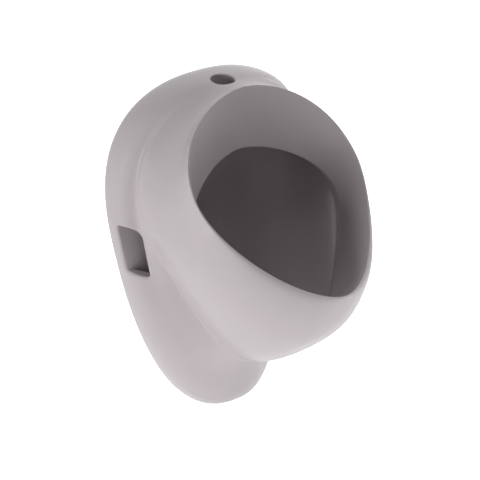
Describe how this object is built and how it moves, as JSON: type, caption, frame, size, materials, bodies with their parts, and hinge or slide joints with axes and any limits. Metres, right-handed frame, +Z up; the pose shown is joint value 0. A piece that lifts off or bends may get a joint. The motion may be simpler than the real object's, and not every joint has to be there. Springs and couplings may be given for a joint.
{
  "type": "wall hung urinal",
  "caption": "Wall hung urinal: a forward-leaning egg-shaped bowl on a rounded trap housing, with side fixing pockets, a lift-out strainer, a hidden trap and an outlet into the wall.",
  "frame": {"origin": "on the wall plane, midway between the two wall fixings", "axes": "+X to the right seen from in front, +Y into the wall, +Z up"},
  "size_m": [0.3484, 0.397, 0.511],
  "materials": {
    "glazed_ceramic": "glossy light warm grey glaze",
    "chrome": "polished",
    "steel": "bright zinc plate",
    "white_plastic": "moulded, satin",
    "nylon": "grey moulded nylon",
    "rubber": "matt"
  },
  "bodies": {
    "urinal": {"ceramic_body": "glazed_ceramic", "waste_flange": "chrome", "waste_top_seal": "rubber", "floor_seal": "rubber", "slip_washer": "nylon", "trap_body": "white_plastic", "trap_cup": "white_plastic", "trap_cup_seal": "rubber", "outlet_nut": "white_plastic", "outlet_slip_ring": "nylon", "outlet_seal": "rubber", "outlet_pipe": "white_plastic", "wall_sleeve": "rubber", "fixing_bolts": "steel", "fixing_sleeves": "nylon", "fixing_washers": "steel", "fixing_nuts": "steel", "wall_anchors": "steel"},
    "strainer_cartridge": {"strainer": "chrome", "strainer_screw": "steel", "dip_tube": "white_plastic", "dip_tube_seal": "rubber"}
  },
  "joints": [
    {"name": "strainer_lift", "type": "slide", "parent": "urinal", "child": "strainer_cartridge", "axis": [0, 0, 1], "range_m": [0, 0.12]}
  ]
}
